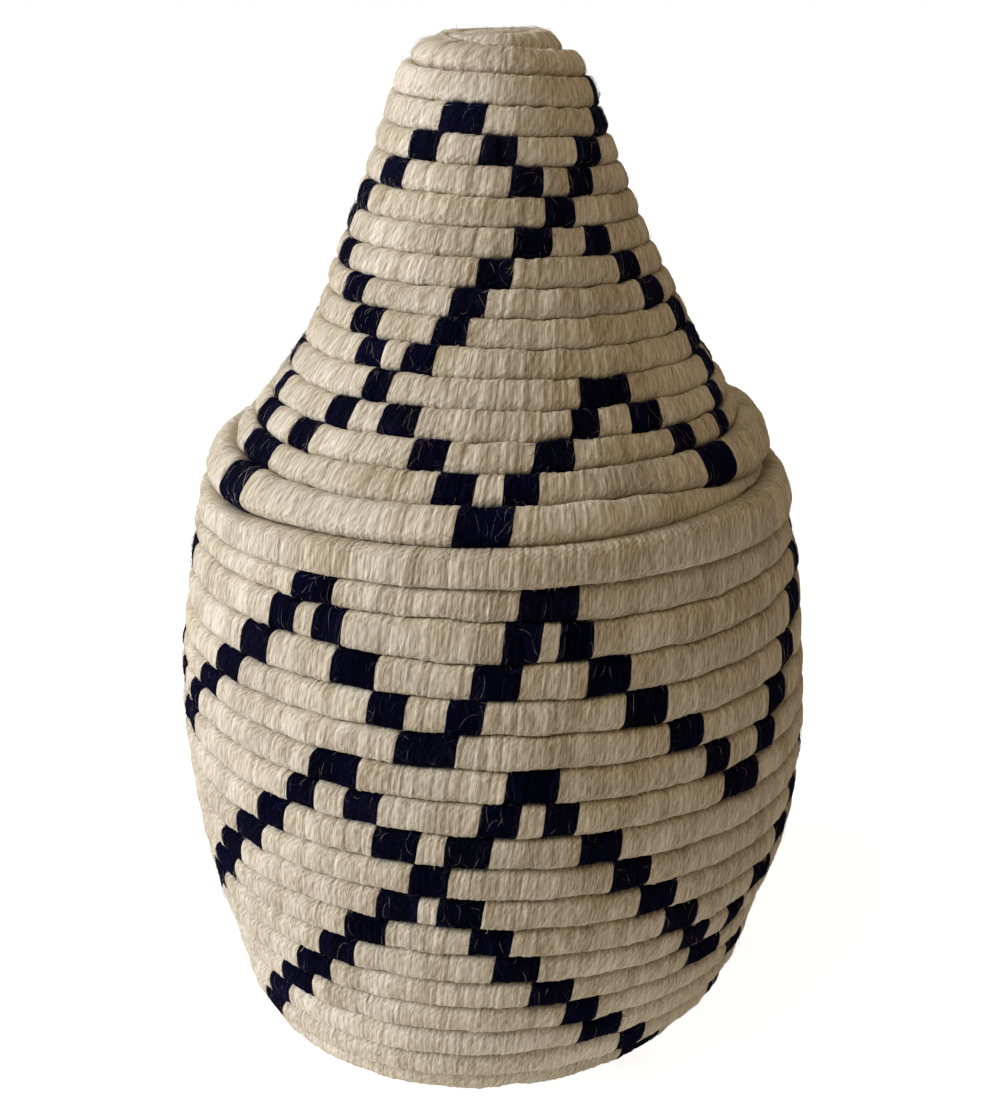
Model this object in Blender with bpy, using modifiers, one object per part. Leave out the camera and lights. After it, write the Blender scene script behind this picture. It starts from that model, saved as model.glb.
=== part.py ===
# Coiled basket with a tall lid: two unbroken coils, wound row on row, each made in lengths.
# Units are metres, +Z is up, the basket stands on z = 0 and its front faces -Y.
from math import atan2, ceil, cos, pi, sin, sqrt

import bmesh
import bpy
from mathutils import Vector
from mathutils.bvhtree import BVHTree

# Thickness of the wrapped coils
BASKET_COIL = 0.01175
RIM_COIL = 0.0172
LID_COIL = 0.0103
LID_FOOT_COIL = 0.0167
TAIL = 0.0026

# Clearance between neighbouring rows, which the small loops' steep spiral raises by the second
# value times the power of thickness over radius, and between one length of coil and the next
ROW_GAP = 0.00052
SPIRAL_SLOPE_GAP = 0.0034
SPIRAL_SLOPE_POWER = 1.5
CUT_GAP = 0.0003

# Centre of the basket's coil from the middle of the base to the rim, as radius and height
BASE_HEIGHT = 0.0057
BASKET_PROFILE = [
    (0.0, BASE_HEIGHT), (0.040, BASE_HEIGHT), (0.076, BASE_HEIGHT), (0.0875, 0.0072), (0.0955, 0.0160),
    (0.1020, 0.0290), (0.1085, 0.0500), (0.1145, 0.0790), (0.1185, 0.1160), (0.1175, 0.1520),
    (0.1140, 0.1860), (0.1100, 0.2190), (0.1085, 0.2350),
]
RIM_HEIGHT = 0.2262

# Centre of the lid's coil from the middle of its top to its foot
LID_PROFILE = [
    (0.0, 0.3862), (0.0120, 0.3860), (0.0225, 0.3832), (0.0300, 0.3745), (0.0350, 0.3630),
    (0.0420, 0.3420), (0.0500, 0.3210), (0.0590, 0.3010), (0.0680, 0.2805), (0.0800, 0.2615),
    (0.0960, 0.2430), (0.1040, 0.2330), (0.1070, 0.2240),
]
LID_SEAT_GAP = 0.0003

# Knots that the two coils start from, and the ring that keeps the lid in the mouth
BASE_KNOT_RADIUS = 0.0090
BASE_KNOT_THICKNESS = 0.0120
LID_KNOT_RADIUS = 0.0075
LID_KNOT_THICKNESS = 0.0108
LOCATING_RING_RADIUS = 0.0915
LOCATING_RING_HEIGHT = 0.2252

# Each loop has this many points; the tube has six sides, with flats towards its neighbours
LOOP_POINTS = 16
SIDES = 6
KNOT_EDGE_POINTS = 5
CORNER_ANGLE = pi / SIDES
FLAT_TO_CORNER = 1 / cos(CORNER_ANGLE)
PROFILE_STEP = 0.0005
LEAST_GAP_REACH = 0.003
SETTLING_STEPS = 5
BISECTION_STEPS = 30
WELD_DISTANCE = 0.00001
KNOT_MERGE_DISTANCE = 0.0001

# Seen from above both coils climb clockwise; these are the angles where the last loops start
HALF_STEP = pi / LOOP_POINTS
BASKET_LAST_LOOP_ANGLE = HALF_STEP
LID_LAST_LOOP_ANGLE = pi - HALF_STEP

# Loops in each coil, and the loop numbers where one length ends and the next starts
BASKET_LOOPS = 24
BASKET_CUTS = {
    "base_coil": 0, "lower_wall_coil": 6, "belly_coil": 12, "shoulder_coil": 17, "rim_coil": 23,
}
LID_LOOPS = 17
LID_CUTS = {
    "lid_top_coil": 0, "lid_neck_coil": 3, "lid_cone_coil": 8, "lid_flare_coil": 12, "lid_foot_coil": 16,
}

# The lengths that the basket stands on, cut flat at the ground by a box of this size
RESTING_LENGTHS = ("base_coil", "lower_wall_coil")
GROUND_WIDTH = 0.4
GROUND_DEPTH = 0.05

# Colours and roughness of the wool
WOOL_ROUGHNESS = 0.95
BASKET_WOOL = (0.60, 0.51, 0.38)
LID_WOOL = (0.62, 0.53, 0.40)
KNOT_WOOL = (0.55, 0.46, 0.34)


def clear_scene():
    for item in list(bpy.data.objects):
        bpy.data.objects.remove(item)


def collection(name):
    group = bpy.data.collections.new(name)
    bpy.context.scene.collection.children.link(group)
    return group


def wool(name, colour):
    """The matt surface of wrapped wool."""
    material = bpy.data.materials.new(name)
    material.use_nodes = True
    shader = material.node_tree.nodes["Principled BSDF"]
    shader.inputs["Base Color"].default_value = (*colour, 1)
    shader.inputs["Roughness"].default_value = WOOL_ROUGHNESS
    shader.inputs["Metallic"].default_value = 0
    return material


def smooth_path(corners):
    """Points about PROFILE_STEP apart on a centripetal spline through the profile's corners."""
    ends = [2 * Vector(corners[0]) - Vector(corners[1])] + [Vector(c) for c in corners]
    ends.append(2 * ends[-1] - ends[-2])
    path = []
    for a, b, c, d in zip(ends, ends[1:], ends[2:], ends[3:]):
        ta = 0.0
        tb = ta + sqrt((b - a).length)
        tc = tb + sqrt((c - b).length)
        td = tc + sqrt((d - c).length)
        steps = ceil((c - b).length / PROFILE_STEP)
        for k in range(steps):
            t = tb + (tc - tb) * k / steps
            ab = a.lerp(b, (t - ta) / (tb - ta))
            bc = b.lerp(c, (t - tb) / (tc - tb))
            cd = c.lerp(d, (t - tc) / (td - tc))
            left = ab.lerp(bc, (t - ta) / (tc - ta))
            right = bc.lerp(cd, (t - tb) / (td - tb))
            path.append(left.lerp(right, (t - tb) / (tc - tb)))
    path.append(ends[-2])
    return path


class Profile:
    """A coil's centre line in the radius and height plane, measured along its own length."""

    def __init__(self, corners):
        self.path = smooth_path(corners)
        self.reach = [0.0]
        for a, b in zip(self.path, self.path[1:]):
            self.reach.append(self.reach[-1] + (b - a).length)

    def at(self, distance):
        """Radius, height and lean at a distance along it; the lean is from +Z towards outward."""
        low, high = 0, len(self.reach) - 2
        while low < high:
            middle = (low + high + 1) // 2
            if self.reach[middle] <= distance:
                low = middle
            else:
                high = middle - 1
        a, b = self.path[low], self.path[low + 1]
        share = (distance - self.reach[low]) / (self.reach[low + 1] - self.reach[low])
        point = a.lerp(b, share)
        along = b - a
        return point.x, point.y, atan2(along.x, along.y)


def half_width(size, lean, direction):
    """Half the extent of a six-sided section along a direction that is off its lean."""
    off_flat = (direction - lean + CORNER_ANGLE) % (2 * CORNER_ANGLE) - CORNER_ANGLE
    return size / 2 * FLAT_TO_CORNER * cos(CORNER_ANGLE - abs(off_flat))


def against(profile, distance_below, size_below, size):
    """The distance along the profile at which one loop clears the loop below it by the row gap."""
    radius_below, height_below, lean_below = profile.at(distance_below)
    distance = distance_below + (size_below + size) / 2 + ROW_GAP
    for _ in range(SETTLING_STEPS):
        radius, height, lean = profile.at(distance)
        step = Vector((radius - radius_below, height - height_below))
        direction = atan2(step.x, step.y)
        reach = half_width(size_below, lean_below, direction) + half_width(size, lean, direction)
        gap = ROW_GAP + SPIRAL_SLOPE_GAP * (size / radius) ** SPIRAL_SLOPE_POWER
        distance += reach + gap - step.length
    return distance


def coil_sizes(profile, loops, knot, coil, last_coil, level, side):
    """The distance along the profile and the thickness at every point of a coil.

    Each loop lies against the one before it. The first grows from a tail. The last is thicker
    and thins to a tail, so that its free side, up (1) or down (-1), stays level for the other half.
    """
    distances, sizes = [], []

    def place(i, size):
        if i < LOOP_POINTS:
            clear_of_tail = (TAIL + SPIRAL_SLOPE_GAP) * i / LOOP_POINTS
            return knot + ROW_GAP + clear_of_tail + size / 2 * FLAT_TO_CORNER
        return against(profile, distances[i - LOOP_POINTS], sizes[i - LOOP_POINTS], size)

    def level_size(i):
        thin, thick = 0.0, last_coil
        for _ in range(BISECTION_STEPS):
            size = (thin + thick) / 2
            _, height, lean = profile.at(place(i, size))
            if side * (height + side * half_width(size, lean, 0) - level) > 0:
                thick = size
            else:
                thin = size
        return size

    for i in range(loops * LOOP_POINTS + 1):
        turn = i / LOOP_POINTS
        growth = max(0.0, min(1.0, 2 * (turn - (loops - 1.5))))
        size = coil + (last_coil - coil) * growth * growth * (3 - 2 * growth)
        if turn < 1:
            size = TAIL + (coil - TAIL) * turn
        if growth > 0:
            size = min(size, level_size(i))
        if size < TAIL:
            break
        distances.append(place(i, size))
        sizes.append(size)
    return distances, sizes


def coil_stations(profile, distances, sizes, last_angle, loops, turn_way):
    """The place, thickness and tilt of every point; turn_way is -1 where the coil is wound clockwise."""
    last_start = (loops - 1) * LOOP_POINTS + 0.5
    stations = []
    for i, (distance, size) in enumerate(zip(distances, sizes)):
        radius, height, lean = profile.at(distance)
        angle = last_angle + turn_way * (i - last_start) * 2 * HALF_STEP
        place = Vector((radius * cos(angle), radius * sin(angle), height))
        stations.append((place, size, lean * turn_way))
    return stations


def between(first, second, share):
    """A station on the straight line between two others."""
    return tuple(
        a.lerp(b, share) if isinstance(a, Vector) else a + (b - a) * share for a, b in zip(first, second)
    )


def cut_lengths(stations, cuts):
    """The stations of each length, by name; lengths meet square, in the middle of a straight."""
    names, starts = list(cuts), [loop * LOOP_POINTS for loop in cuts.values()]
    lengths = {}
    for name, start, end in zip(names, starts, starts[1:] + [len(stations) - 1]):
        length = list(stations[start : end + 1])
        if start > 0:
            a, b = stations[start], stations[start + 1]
            length[0] = between(a, b, 0.5 + CUT_GAP / 2 / (b[0] - a[0]).length)
        if end + 1 < len(stations):
            a, b = stations[end], stations[end + 1]
            length.append(between(a, b, 0.5 - CUT_GAP / 2 / (b[0] - a[0]).length))
        lengths[name] = length
    return lengths


def ring_stations(radius, height, size):
    """One loop of coil, wound clockwise, whose two ends stop a clearance apart."""
    stations = []
    for i in range(LOOP_POINTS + 1):
        angle = -i * 2 * HALF_STEP
        stations.append((Vector((radius * cos(angle), radius * sin(angle), height)), size, 0.0))
    edge = (stations[1][0] - stations[0][0]).length
    start = between(stations[0], stations[1], 0.5 + ROW_GAP / 2 / edge)
    end = between(stations[0], stations[1], 0.5 - ROW_GAP / 2 / edge)
    return [start] + stations[1:] + [end]


def tube_mesh(name, stations):
    """A six-sided tube with filled ends along the stations."""
    curve = bpy.data.curves.new(name, "CURVE")
    curve.dimensions = "3D"
    curve.bevel_depth = 1
    curve.bevel_resolution = 1
    curve.use_fill_caps = True
    curve.twist_mode = "Z_UP"
    spline = curve.splines.new("POLY")
    spline.points.add(len(stations) - 1)
    for point, (place, size, tilt) in zip(spline.points, stations):
        point.co = (*place, 1)
        point.radius = size / 2 * FLAT_TO_CORNER
        point.tilt = tilt
    path = bpy.data.objects.new(name, curve)
    bpy.context.scene.collection.objects.link(path)
    bpy.context.view_layer.update()
    mesh = bpy.data.meshes.new_from_object(path.evaluated_get(bpy.context.evaluated_depsgraph_get()))
    bpy.data.objects.remove(path)
    mesh.name = name
    return mesh


def print_least_gap(name, stations):
    """Prints the least distance between a coil's loops, from the corners of one to the sides of others."""
    mesh = tube_mesh(name, stations)
    caps = len(mesh.vertices) - SIDES * len(stations)
    corners = [vertex.co.copy() for vertex in mesh.vertices]
    sides = [tuple(face.vertices) for face in mesh.polygons if min(face.vertices) >= caps]
    tree = BVHTree.FromPolygons(corners, sides)
    least = LEAST_GAP_REACH
    for index, corner in enumerate(corners[caps:]):
        for _, _, face, distance in tree.find_nearest_range(corner, LEAST_GAP_REACH):
            if abs((sides[face][0] - caps) // SIDES - index // SIDES) > LOOP_POINTS // 2:
                least = min(least, distance)
    bpy.data.meshes.remove(mesh)
    print(f"{name}: {len(stations) / LOOP_POINTS:.1f} loops, least gap to itself {least * 1000:.2f} mm")


def solid(name, mesh, group, material, parent):
    """A named object of one welded body, with its faces outward."""
    shape = bmesh.new()
    shape.from_mesh(mesh)
    bmesh.ops.remove_doubles(shape, verts=shape.verts, dist=WELD_DISTANCE)
    bmesh.ops.recalc_face_normals(shape, faces=shape.faces)
    shape.to_mesh(mesh)
    shape.free()
    mesh.materials.append(material)
    mesh.shade_smooth()
    item = bpy.data.objects.new(name, mesh)
    group.objects.link(item)
    join_to(item, parent)
    return item


def join_to(item, parent):
    """Parents an object without moving it."""
    item.parent = parent
    item.matrix_parent_inverse = parent.matrix_world.inverted()


def knot(name, radius, thickness, middle, group, material, parent):
    """The wrapped start of a coil: a thick disc with a round edge, turned about Z."""
    edge = thickness / 2
    side = [(0, edge)]
    for k in range(KNOT_EDGE_POINTS):
        angle = pi / 2 - k * pi / (KNOT_EDGE_POINTS - 1)
        side.append((radius - edge + edge * cos(angle), edge * sin(angle)))
    side.append((0, -edge))
    outline = bmesh.new()
    corners = [outline.verts.new((x, 0, z)) for x, z in side]
    for a, b in zip(corners, corners[1:]):
        outline.edges.new((a, b))
    mesh = bpy.data.meshes.new(name)
    outline.to_mesh(mesh)
    outline.free()
    mesh.materials.append(material)
    item = bpy.data.objects.new(name, mesh)
    item.location.z = middle
    group.objects.link(item)
    bpy.context.view_layer.update()
    join_to(item, parent)
    turned = item.modifiers.new("turned", "SCREW")
    turned.steps = turned.render_steps = LOOP_POINTS
    turned.use_merge_vertices = True
    turned.merge_threshold = KNOT_MERGE_DISTANCE
    turned.use_normal_calculate = True
    turned.use_smooth_shade = True
    return item


def ground_cutter(group):
    """A box under the ground that the base's lengths are cut flat with."""
    bpy.ops.mesh.primitive_cube_add(size=1)
    cutter = bpy.context.active_object
    cutter.name = "ground_cutter"
    cutter.dimensions = (GROUND_WIDTH, GROUND_WIDTH, GROUND_DEPTH)
    cutter.location.z = -GROUND_DEPTH / 2
    for holder in list(cutter.users_collection):
        holder.objects.unlink(cutter)
    group.objects.link(cutter)
    cutter.hide_render = True
    cutter.display_type = "WIRE"
    return cutter


def cut_flat(item, cutter):
    flat = item.modifiers.new("cut flat", "BOOLEAN")
    flat.operation = "DIFFERENCE"
    flat.solver = "EXACT"
    flat.object = cutter


def body_frame(name, height, group):
    """The empty that carries one rigid body's pieces."""
    frame = bpy.data.objects.new(name, None)
    frame.location.z = height
    group.objects.link(frame)
    bpy.context.view_layer.update()
    return frame


def build_basket(group, cutters):
    frame = body_frame("basket_frame", 0, group)
    profile = Profile(BASKET_PROFILE)
    sizes = coil_sizes(profile, BASKET_LOOPS, BASE_KNOT_RADIUS, BASKET_COIL, RIM_COIL, RIM_HEIGHT, 1)
    stations = coil_stations(profile, *sizes, BASKET_LAST_LOOP_ANGLE, BASKET_LOOPS, -1)
    print_least_gap("basket_coil", stations)
    cutter = ground_cutter(cutters)
    for name, length in cut_lengths(stations, BASKET_CUTS).items():
        item = solid(name, tube_mesh(name, length), group, wool(name + "_wool", BASKET_WOOL), frame)
        if name in RESTING_LENGTHS:
            cut_flat(item, cutter)
    middle = BASE_KNOT_THICKNESS / 2
    wrap = wool("base_start_knot_wool", KNOT_WOOL)
    knot("base_start_knot", BASE_KNOT_RADIUS, BASE_KNOT_THICKNESS, middle, group, wrap, frame)


def build_lid(group):
    frame = body_frame("lid_frame", RIM_HEIGHT, group)
    profile = Profile(LID_PROFILE)
    foot_height = RIM_HEIGHT + LID_SEAT_GAP
    sizes = coil_sizes(profile, LID_LOOPS, LID_KNOT_RADIUS, LID_COIL, LID_FOOT_COIL, foot_height, -1)
    stations = coil_stations(profile, *sizes, LID_LAST_LOOP_ANGLE, LID_LOOPS, 1)
    print_least_gap("lid_coil", stations)
    for name, length in cut_lengths(stations, LID_CUTS).items():
        solid(name, tube_mesh(name, length), group, wool(name + "_wool", LID_WOOL), frame)
    top_height = LID_PROFILE[0][1]
    wrap = wool("lid_start_knot_wool", KNOT_WOOL)
    knot("lid_start_knot", LID_KNOT_RADIUS, LID_KNOT_THICKNESS, top_height, group, wrap, frame)
    name = "lid_locating_ring"
    ring = ring_stations(LOCATING_RING_RADIUS, LOCATING_RING_HEIGHT, LID_COIL)
    solid(name, tube_mesh(name, ring), group, wool(name + "_wool", LID_WOOL), frame)


def build():
    clear_scene()
    group = collection("coiled_basket")
    cutters = collection("cutters")
    build_basket(group, cutters)
    build_lid(group)


build()
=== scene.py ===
# Looks of a coiled basket with a tall lid: wool wound tight over two long coils of plant fibre.
# Metres, +Z up, the basket stands on z = 0 and its front faces -Y.
from bisect import bisect_right
from math import atan2, ceil, cos, pi, radians, sin, sqrt

import bpy
import numpy as np
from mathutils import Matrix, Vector


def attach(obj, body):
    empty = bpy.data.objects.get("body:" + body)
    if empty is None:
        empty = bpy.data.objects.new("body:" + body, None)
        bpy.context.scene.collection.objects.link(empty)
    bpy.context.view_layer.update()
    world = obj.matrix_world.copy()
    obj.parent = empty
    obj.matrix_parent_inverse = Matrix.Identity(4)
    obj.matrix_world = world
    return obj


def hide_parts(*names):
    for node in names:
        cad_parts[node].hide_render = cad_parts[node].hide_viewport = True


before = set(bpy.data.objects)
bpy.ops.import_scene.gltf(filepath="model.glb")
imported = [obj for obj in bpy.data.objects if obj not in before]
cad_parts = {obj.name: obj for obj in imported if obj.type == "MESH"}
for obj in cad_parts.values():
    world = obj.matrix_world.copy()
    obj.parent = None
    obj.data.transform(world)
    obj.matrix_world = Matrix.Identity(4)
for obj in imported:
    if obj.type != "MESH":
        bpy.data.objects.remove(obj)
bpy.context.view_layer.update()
mm = 0.001

# The two coils, as they lie in the frame. Each profile is the coil's centre as (radius, height) from its
# start knot to its last row, and way is -1 where it is wound clockwise seen from above. Blocks are half
# the width of a navy block: at the end or turn of a line, in the rows beside that, and in its legs.
# Paler are the rows whose colour is made paler: the middle one, how many, and how much.
loopPoints = 16
coilTail = 2.6 * mm
rowGap = 0.52 * mm
spiralSlopeGap = 3.4 * mm
spiralSlopePower = 1.5
rimHeight = 0.2262
baseHeight = 0.0057
frontPlace = 0.3125  # of each loop is wound before the middle of the front
chordShare = 0.997  # the CAD's rows have straight sides, which lie a little nearer the middle
basketCoil = {
    "profile": [
        (0.0, baseHeight), (0.040, baseHeight), (0.076, baseHeight), (0.0875, 0.0072), (0.0955, 0.0160),
        (0.1020, 0.0290), (0.1085, 0.0500), (0.1145, 0.0790), (0.1185, 0.1160), (0.1175, 0.1520),
        (0.1140, 0.1860), (0.1100, 0.2190), (0.1085, 0.2350),
    ],
    "loops": 24, "knot": 9.0 * mm, "thick": 11.75 * mm, "lastThick": 17.2 * mm,
    "level": rimHeight, "side": 1, "way": -1, "lastAngle": pi / loopPoints,
    "yarn": 2.35 * mm, "slant": 1.15 * mm, "body": "basket", "slot": "basket_wool", "seed": 11,
    "blocks": {"turn": 9.3 * mm, "beside": 6.1 * mm, "leg": 7.9 * mm}, "knotSide": 9.0 * mm,
    "paler": [(7.5, 2.5, 0.5)],
}
lidCoil = {
    "profile": [
        (0.0, 0.3862), (0.0120, 0.3860), (0.0225, 0.3832), (0.0300, 0.3745), (0.0350, 0.3630),
        (0.0420, 0.3420), (0.0500, 0.3210), (0.0590, 0.3010), (0.0680, 0.2805), (0.0800, 0.2615),
        (0.0960, 0.2430), (0.1040, 0.2330), (0.1070, 0.2240),
    ],
    "loops": 17, "knot": 7.5 * mm, "thick": 10.3 * mm, "lastThick": 16.7 * mm,
    "level": rimHeight + 0.3 * mm, "side": -1, "way": 1, "lastAngle": pi - pi / loopPoints,
    "yarn": 2.6 * mm, "slant": 1.15 * mm, "body": "lid", "slot": "lid_wool", "seed": 23,
    "blocks": {"turn": 8.5 * mm, "beside": 6.5 * mm, "leg": 6.4 * mm},
    "lastReach": 1.2 * mm, "mergeFrom": 15.36, "mergeTo": 15.57, "knotSide": 11.5 * mm,
    "paler": [(2, 2.5, 0.7), (16.5, 0.6, 0.5)],
    # how far along the profile the top's rows lie, in mm: as in the CAD, and as they really do
    "spread": [
        (0, 0), (7.5, 11.5), (16.2, 22.4), (27.8, 31.6), (39.3, 41.5), (50.6, 51.4), (61.8, 62), (400, 400),
    ],
}

# Each CAD length of coil, the loop that it starts at, and how many pieces it is wrapped in
basketLengths = [
    ("base_coil", 0, 1), ("lower_wall_coil", 6, 2), ("belly_coil", 12, 2), ("shoulder_coil", 17, 2),
    ("rim_coil", 23, 1),
]
lidLengths = [
    ("lid_top_coil", 0, 1), ("lid_neck_coil", 3, 1), ("lid_cone_coil", 8, 1), ("lid_flare_coil", 12, 1),
    ("lid_foot_coil", 16, 1),
]

# The navy zigzags: each line goes through these places, (degrees round from the front, row), with one
# block on every row between them. Past half a turn the rows go on winding.
basketZigzags = [
    [(-33.3, 22), (-39.8, 21), (-45.8, 20), (-53.3, 19), (-60.8, 18), (-67, 17), (-72.8, 16)],
    [(-72.8, 16), (-86, 18), (-105, 20.5), (-120, 22)],
    [(-33.3, 22), (-29.5, 21), (-24.5, 20), (-18, 19), (-11.5, 18), (-5.3, 19), (0.3, 20), (4.3, 21),
     (9, 22)],
    [(9, 22), (13.5, 21), (19.5, 20), (25.8, 19), (33.3, 18), (40, 17), (47, 16), (54.3, 17), (59.5, 18),
     (65.3, 19), (72, 20), (77.5, 21), (84, 22)],
    [(84, 22), (106, 19), (125.5, 17), (156, 22), (186.5, 17), (217, 22), (240, 20)],
    [(-81, 21)],
    [(5.8, 17), (0.3, 16), (-4.5, 15), (-10.8, 14), (-17.3, 13), (-23.5, 12), (-29.5, 11), (-36.3, 10),
     (-42.8, 9), (-50, 8), (-56, 7)],
    [(5.8, 17), (10.5, 16), (17.3, 15), (23.3, 14), (29.5, 13), (35, 12), (40, 11), (45.5, 10)],
    [(-27.5, 17), (-34.3, 16), (-41.3, 15), (-48.3, 14), (-55.8, 13), (-60.8, 12), (-68, 11), (-98, 7)],
    [(-27.5, 17), (-22.5, 16), (-16.3, 15), (-10.8, 14), (-6.3, 13), (-1.3, 12), (3.5, 11), (10.3, 10),
     (16.3, 9), (21.5, 8), (30.3, 7), (38, 6)],
    [(45.5, 10), (52.5, 11), (59.8, 12), (67, 13), (73.3, 14), (82, 15), (108, 17)],
    [(108, 17), (130, 14), (165, 9), (179, 7)],
    [(61.5, 9)],
    [(65, 7)],
    [(98, 7), (140, 13), (168, 17), (196, 13), (238, 7)],
]
lidZigzags = [
    [(-14, 3), (-33.5, 4), (-50.8, 5), (-72, 6), (-84, 7)],
    [(-84, 7), (-70, 8), (-54.3, 9), (-42.5, 10), (-37.3, 11), (-31.3, 12), (-23, 13), (-14, 14), (-7.5, 15),
     (-1.8, 16)],
    [(-14, 3), (2.3, 4), (15.5, 5), (27.8, 6), (42, 7), (54.5, 8), (61.5, 9), (73.3, 10), (79, 11)],
    [(79, 11), (79.5, 12), (72, 13), (65.3, 14), (52.5, 15)],
    [(84, 2), (72.3, 3), (51.8, 4), (41.3, 5), (27.8, 6), (14, 7), (1.8, 8), (-7, 9), (-13, 10), (-20.3, 11),
     (-31.3, 12), (-39.8, 13), (-49, 14), (-58.8, 15), (-59.6, 16)],
    [(29.8, 12), (22.5, 13), (13.8, 14), (6, 15), (-1.8, 16)],
    [(29.8, 12), (39, 13), (47.3, 14), (52.5, 15)],
    [(-100, 11), (-85.5, 12), (-73.1, 13), (-66.4, 15), (-59.6, 16)],
    [(84, 2), (100, 3), (140, 5), (160, 7), (139, 9), (118, 11), (109, 13), (126, 15)],
    [(79, 11), (95, 12), (109, 13)],
    [(-84, 7), (-100, 8), (-128, 10), (-142, 12), (-121, 14), (-110, 15)],
    [(-100, 11), (-142, 12), (-165, 14), (-180, 15)],
    [(139, 9), (165, 11), (180, 13), (163, 15)],
]

# How the wrap lies
wrap = {
    "flatness": 0.61,  # power of the row's section: 1 is round, less is flatter
    "seatFlatness": 0.52,  # the same where the lid's foot and the rim are pressed together
    "seatTurns": (1.12, 0.96),  # turns before the coil's end where that starts, and where it is in full
    "outDepth": 1.06, "inDepth": 1.0,  # how far the crest stands out, in halves of the coil's thickness
    "overlap": 0.14 * mm,  # rows press into each other this far
    "boundaryWobble": 0.42 * mm, "crestWobble": 0.28 * mm,
    "calmRadius": 0.075, "leastWobble": 0.3,  # small rows near the knots wobble less
    "groove": 0.17 * mm, "yarnVary": 0.36, "yarnLift": 0.07 * mm, "blockVary": (0.92, 1.1),
    "lumps": 0.12 * mm,  # soft unevenness all over, about 3 mm from one to the next
    "fanOut": 0.22, "fanVary": 0.14,  # how much the strands' slant changes along a row and between two
}

# How far the hand-made one is out of true. Each pair gives the heights, radii or places across between
# which a change comes in.
settling = {
    "seatTilt": 0.034, "seatTiltHeights": (0.145, 0.210),
    "lidTilt": 0.018, "lidTiltHeights": (0.230, 0.262), "lidShift": -1.2 * mm,
    "baseLift": 4.2 * mm, "baseLiftAcross": (-0.02, 0.10), "baseLiftHeights": (0, 0.070),
    "crownTop": 0.3911, "crownFlat": 0.72, "crownHeights": (0.3790, 0.3860), "crownRadii": (0.0185, 0.0225),
    "crownRise": 1.3 * mm, "crownRiseHeights": (0.362, 0.376),
    "crownSmooth": 0.62, "crownSmoothHeights": (0.354, 0.366), "crownSmoothReach": 4 * mm,
    "crownShift": 1.3 * mm, "crownShiftHeights": (0.3835, 0.389),
    "skirtDrop": 1.7 * mm, "skirtRadii": (0.1030, 0.1120), "skirtHeights": (0.2260, 0.2370),
    "rimRadii": (0.103, 0.109), "rimHeights": (0.214, 0.224),
    "bellRadii": {"basket": (0.02, 0.07), "lid": (0, 0.02)},
}
# The outline of the lid's top as (height, radius); its rows stand out from it less than those lower down
crownOutline = [
    (0.3607, 0.0410), (0.3657, 0.0397), (0.3700, 0.0384), (0.3754, 0.0362), (0.3816, 0.0334),
    (0.3858, 0.0312), (0.3886, 0.0287), (0.3902, 0.0250), (0.3908, 0.0216), (0.3911, 0.0200),
]
# Where it bulges, is dented, rises or sags: degrees round from the front, width in degrees, height,
# reach below and above it, how far out, and how far up. Those of the seat move basket and lid alike.
bells = {
    "seat": [(-15, 80, 0.2265, 0.010, 0.030, 0, -3.0 * mm)],
    "basket": [
        (-40, 54, 0.000, 0.035, 0.035, 5.0 * mm, 0), (90, 54, 0.030, 0.032, 0.032, -4.6 * mm, 0),
        (-90, 54, 0.155, 0.055, 0.055, 2.4 * mm, 0), (90, 54, 0.214, 0.020, 0.020, -2.8 * mm, 0),
        (-55, 55, 0.203, 0.022, 0.012, 0, 5.5 * mm), (12, 45, 0.205, 0.012, 0.010, 0, 2.0 * mm),
        (78, 28, 0.188, 0.020, 0.015, 0, 3.5 * mm), (-70, 30, 0.142, 0.030, 0.020, 0, 2.5 * mm),
        (22, 30, 0.030, 0.022, 0.028, 0, 2.3 * mm), (90, 38, 0.2262, 0.010, 0.010, -3.4 * mm, 0),
        (90, 50, 0.056, 0.014, 0.014, -2.4 * mm, 0), (-90, 50, 0.034, 0.018, 0.018, -2.2 * mm, 0),
    ],
    "lid": [
        (68, 38, 0.247, 0.018, 0.030, 0, -2.2 * mm), (80, 70, 0.365, 0.045, 0.040, 0, -1.8 * mm),
        (-35, 45, 0.280, 0.014, 0.018, 0, 1.6 * mm), (-5, 40, 0.238, 0.010, 0.010, 0, -1.2 * mm),
        (90, 45, 0.236, 0.012, 0.016, -3.4 * mm, 0), (90, 60, 0.285, 0.020, 0.022, 3.4 * mm, 0),
        (-90, 60, 0.290, 0.022, 0.020, -2.0 * mm, 0), (90, 60, 0.335, 0.030, 0.030, 1.8 * mm, 0),
        (-68, 14, 0.2265, 0.006, 0.0075, 0, -1.3 * mm),
        (-36, 24, 0.2265, 0.006, 0.0075, 0, 1.8 * mm), (24, 16, 0.2265, 0.006, 0.0075, 0, -1.3 * mm),
        (-118, 26, 0.236, 0.014, 0.014, -3.0 * mm, -1.0 * mm), (90, 40, 0.263, 0.010, 0.010, 2.0 * mm, 0),
    ],
}
# Where the rim row's outer shoulder swells up against the lid's foot: degrees, width and how far
rimSwells = [
    (-40, 30, 3.6 * mm), (8, 44, 2.4 * mm), (50, 18, 1.6 * mm), (-140, 50, 2.8 * mm), (134, 32, 4.4 * mm),
]


def linear(code):
    parts = [int(code[i : i + 2], 16) / 255 for i in (1, 3, 5)]
    return tuple(c / 12.92 if c <= 0.04045 else ((c + 0.055) / 1.055) ** 2.4 for c in parts) + (1.0,)


def smoothStep(low, high, x):
    t = np.clip((x - low) / (high - low), 0, 1)
    return t * t * (3 - 2 * t)


# The coils' centre lines

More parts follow.
